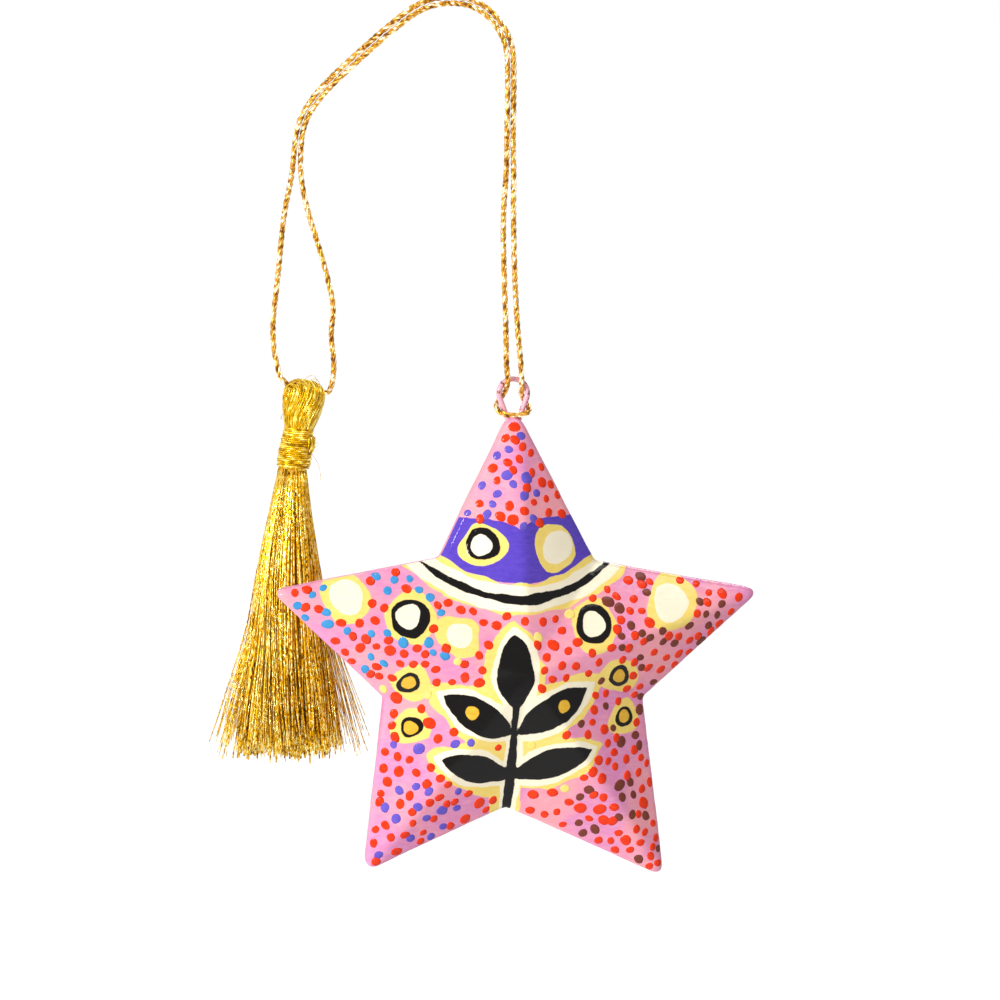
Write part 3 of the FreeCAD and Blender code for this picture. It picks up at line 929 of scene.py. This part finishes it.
neck_foot = mm((-23.0, 16.0, -73.3))[0]
head_lean = math.radians(9.3)
head_right = Vector((math.cos(head_lean), 0, -math.sin(head_lean)))
head_up = Vector((math.sin(head_lean), 0, math.cos(head_lean)))
head_heights = (0, 6.6, 8.0, 9.6, 12.0, 13.2, 14.0, 14.5, 14.8, 14.9)
head_radii = (2.2, 2.2, 2.6, 3.05, 3.4, 3.25, 2.7, 1.95, 1.1, 0)
fold_heights = (0.2, 2.5, 5, 6.6, 7.5, 8.5, 9.5, 10.6, 11.6, 12.4, 13.1, 13.7, 14.2, 14.5, 14.7)
core_inset = 0.5
core_share = 0.965
head_layers = (0.34, 0.2, 0.06)  # How far under the head's surface each layer lies, in millimetres
threads_per_layer = 66
tuck_count = 8
wisp_count = 75
threads_per_wisp = 12
skirt_length = 45.9
stray_count = 220
knot_steps = 72

head_thread_radius = 0.115 * MM
winding_radius = 0.16 * MM
tuck_radius = 0.12 * MM
skirt_thread_radius = 0.14 * MM
stray_radius = 0.065 * MM
hair_radius = 0.035 * MM
knot_radius = 0.4 * MM


def in_head(x, y, height):
    """A point of the head, in millimetres from the neck's foot along the leaning head."""
    return neck_foot + (head_right * x + ACROSS * y + head_up * height) * MM


def head_radius(height):
    return float(np.interp(height, head_heights, head_radii))


def smooth_share(value, low, high):
    share = min(max((value - low) / (high - low), 0), 1)
    return share * share * (3 - 2 * share)


def folded_thread(turn, inset, slant):
    """One thread of the head: up the front, over the cord and down the back."""
    side, front = math.sin(turn), []
    reach = side * (max(head_radii) - inset)
    for height in fold_heights:
        radius = head_radius(height) - inset
        x = reach if height > 12 else side * radius
        if abs(x) >= radius:
            break
        front.append((x, -math.sqrt(radius**2 - x**2), height))
    path = front + [(x, -y, height) for x, y, height in reversed(front)]
    turned = []
    for x, y, height in path:
        swing = slant * smooth_share(height, 7.5, 13.5)
        cosine, sine = math.cos(swing), math.sin(swing)
        turned.append(in_head(x * cosine - y * sine, x * sine + y * cosine, height - inset * 0.5))
    return turned


neck_turns = 20
steps_per_turn = 26
neck_heights = (0.4, 1.3, 2.6, 4.4, 5.6, 6.9)
neck_radii = (2.45, 2.66, 2.62, 2.5, 2.4, 2.26)


def wound_neck():
    """The binding thread. Its turns are not quite level, and bulge near the foot and over one lump."""
    steps, path = neck_turns * steps_per_turn, []
    for step in range(steps + 1):
        share = step / steps
        angle = 2 * math.pi * step / steps_per_turn
        tilt = 0.16 * math.sin(angle + 1.1)
        height = 0.5 + 6.4 * share + tilt + 0.05 * noise.noise(Vector((share * 31, 2, 5)))
        radius = float(np.interp(height, neck_heights, neck_radii))
        lump = 0.18 * math.exp(-((height - 4.6) / 0.8) ** 2) * max(math.cos(angle + 0.5), 0)
        radius += 0.16 * noise.noise(Vector((share * 23, 7, 1))) + lump
        path.append(in_head(radius * math.cos(angle), radius * math.sin(angle), height))
    return path


skirt_drops = (0, 7.2, 13.8, 17.2, 27.8, 37.7, 47.1)
skirt_widths = (2.15, 3.35, 4.6, 5.05, 6.1, 7.5, 8.5)
skirt_shifts = (0, -0.4, -0.65, -0.75, -0.65, -0.7, -0.6)
skirt_flatness = 0.86
skirt_steps = 12


def skirt_thread(angle, end_angle, share, spread, length, drift):
    """One hanging thread from the binding to its cut end, which swings round to end_angle on its way."""
    path = []
    for step in range(skirt_steps + 1):
        way = step / skirt_steps
        drop = way * length
        width = float(np.interp(drop, skirt_drops, skirt_widths)) * share + spread * max(way - 0.3, 0) ** 1.6
        bunch = noise.noise(Vector((math.cos(angle) * 2.4, math.sin(angle) * 2.4, 1.5 + way)))
        turn = angle + (end_angle - angle) * way * way + 0.4 * way * bunch
        shift = [noise.noise(Vector((drift, way * 2.2, row))) for row in (3, 8)]
        sway = 0.42 * way * Vector((*shift, 0))
        x = float(np.interp(drop, skirt_drops, skirt_shifts)) + width * math.cos(turn) + sway.x
        y = skirt_flatness * width * math.sin(turn) + sway.y
        path.append(neck_foot + Vector((x, y, 0.45 - drop + 0.02 * width)) * MM)
    return path


def thread_piece(name, lines, radius, sides, finish):
    """A piece made of gold threads."""
    return link_piece(name, thread_mesh(name, lines, radius, sides), finish)


# Each gold's dark tone is painted shade and its lightest a painted glint. The core under the head's threads
# is all coloured darker: painted shade.
thread_gold = make_foil_material("gold_foil_thread", "#6A3E00", "#F2B808", "#FFF6A0", 0.6, 0.48)
head_gold = make_foil_material("taut_gold_thread", "#8A6004", "#E6B20C", "#FFF078", 1.3, 0.58)
core_gold = make_foil_material("shaded_gold_thread", "#3F2602", "#8A5C08", "#B98A20", 0.5, 0.5)


def head_core_shape():
    """The solid under the head's threads: their outline turned round, a little smaller."""
    bm = bmesh.new()
    profile = []
    for height, radius in zip(head_heights, head_radii):
        profile.append(bm.verts.new(in_head(max(radius - core_inset, 0), 0, height * core_share)))
    foot = bm.verts.new(in_head(0, 0, 0))
    edges = [bm.edges.new(pair) for pair in zip([foot] + profile[:-1], profile)]
    bmesh.ops.spin(bm, geom=[foot, *profile, *edges], cent=neck_foot, axis=head_up, angle=2 * math.pi,
                   steps=32, use_merge=True)
    bmesh.ops.remove_doubles(bm, verts=bm.verts, dist=1e-7)
    bmesh.ops.recalc_face_normals(bm, faces=bm.faces)
    return bm


def head_lines():
    """The head's threads, layer on layer, none quite in line with the next."""
    lines = []
    for layer, inset in enumerate(head_layers):
        for number in range(threads_per_layer):
            turn = math.pi * ((number + 0.5 + chance.uniform(-0.4, 0.4)) / threads_per_layer - 0.5)
            own_inset = inset + chance.uniform(-0.07, 0.07)
            slant = 0.62 + chance.uniform(-0.05, 0.05) - 0.1 * layer
            lines.append(folded_thread(turn, own_inset, slant))
    return lines


def tuck_lines():
    """The binding's ends, which come out side by side over its turns and tuck in again."""
    lines = []
    for number in range(tuck_count):
        angle = -0.95 + number * 0.13 + chance.uniform(-0.03, 0.03)
        low, high = chance.uniform(3.2, 3.7), chance.uniform(5.3, 5.9)
        middle = (low + high) / 2
        outline = ((low, 2.6), (low + 0.25, 2.86), (middle, 2.93), (high - 0.2, 2.8), (high, 2.5))
        lines.append([in_head(reach * math.cos(angle), reach * math.sin(angle), height)
                      for height, reach in outline])
    return lines


def skirt_lines():
    """The skirt's wisps: bunches of threads that draw together towards their ends."""
    lines = []
    for wisp in range(wisp_count):
        middle, share = chance.uniform(0, 2 * math.pi), math.sqrt(chance.random())
        spread, length = chance.uniform(-0.8, 1.8), skirt_length + chance.gauss(0, 0.6)
        for number in range(threads_per_wisp):
            start, own = middle + chance.gauss(0, 0.22), min(max(share + chance.gauss(0, 0.08), 0.02), 1)
            end = middle + (start - middle) * 0.35
            drift = wisp * 3.7 + number * 0.11
            own_length = length + chance.gauss(0, 0.6)
            lines.append(skirt_thread(start, end, own, spread * own, own_length, drift))
    return lines


def stray_lines():
    """Single threads that fan out round the wisps, most of them to the sides."""
    lines = []
    for number in range(stray_count):
        angle = chance.choice((math.pi, math.pi, 0)) + chance.gauss(0, 0.75)
        end, share = angle + chance.gauss(0, 0.12), chance.uniform(0.85, 1.02)
        fan, length = chance.uniform(0.5, 9.5), chance.uniform(41, 47.5)
        fan *= 1 + 0.6 * min(math.sin(angle), 0)  # Less towards the front, where the star swings past
        lines.append(skirt_thread(angle, end, share, fan, length, number * 0.71))
    return lines


def knot_line():
    """The knot that closes the loop, inside the head: three turns laced through each other."""
    line = []
    for step in range(knot_steps + 1):
        angle = 2 * math.pi * step / knot_steps
        x = 0.42 * (math.sin(angle) + 2 * math.sin(2 * angle))
        y = 0.42 * (math.cos(angle) - 2 * math.cos(2 * angle))
        line.append(knot_centre + Vector((x, y, -0.46 * math.sin(3 * angle))) * MM)
    return line


head_core = finish_piece("head_core", head_core_shape(), core_gold)
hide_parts("tassel_head")
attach(head_core, "tassel")

head = thread_piece("head_threads", head_lines(), head_thread_radius, 4, head_gold)
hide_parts("tassel_head")
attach(head, "tassel")

winding = thread_piece("neck_winding", [wound_neck()], winding_radius, 8, head_gold)
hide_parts("neck_wrap")
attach(winding, "tassel")

tuck = thread_piece("tucked_ends", tuck_lines(), tuck_radius, 8, head_gold)
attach(tuck, "tassel")

skirt = thread_piece("skirt_threads", skirt_lines(), skirt_thread_radius, 4, thread_gold)
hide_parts("tassel_skirt")
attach(skirt, "tassel")

strays = thread_piece("skirt_strays", stray_lines(), stray_radius, 4, thread_gold)
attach(strays, "tassel")

# Fine fibres that have worked loose, each an arc through listed points
hair_routes = (
    ((2.5, -0.9, 3.2), (3.5, -1.1, 2.2), (4.4, -1.0, 0.6), (4.7, -0.8, -1.0)),
    ((2.3, -1.2, 4.4), (3.1, -1.6, 5.2), (3.5, -1.4, 5.0), (2.9, -1.1, 4.1), (2.5, -0.8, 3.7)),
    ((-2.3, -1.0, 9.6), (-3.0, -1.2, 9.0), (-3.4, -1.1, 8.1), (-3.1, -0.9, 7.8), (-2.6, -0.9, 8.4)),
    ((-0.6, -0.6, 14.5), (0.2, -0.5, 15.6), (1.2, -0.5, 15.7), (1.6, -0.4, 14.9), (1.5, -0.4, 14.1)),
    ((0.4, 0.3, 14.6), (1.2, 0.1, 15.3), (2.0, 0.0, 14.9), (2.5, 0.0, 13.9), (2.6, 0.1, 12.9)),
    ((2.3, 0.6, 13.3), (3.1, 0.8, 13.4), (3.6, 0.9, 12.8), (3.4, 0.8, 12.0)),
)
hairs = [spline_line([in_head(*point) for point in route], "hair") for route in hair_routes]
hair = thread_piece("loose_fibres", hairs, hair_radius, 4, thread_gold)
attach(hair, "tassel")

knot_mesh = thread_mesh("closing_knot", [knot_line()], knot_radius, 8)
knot = link_piece("closing_knot", knot_mesh, cord_gold)
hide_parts("cord_knot")
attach(knot, "tassel")
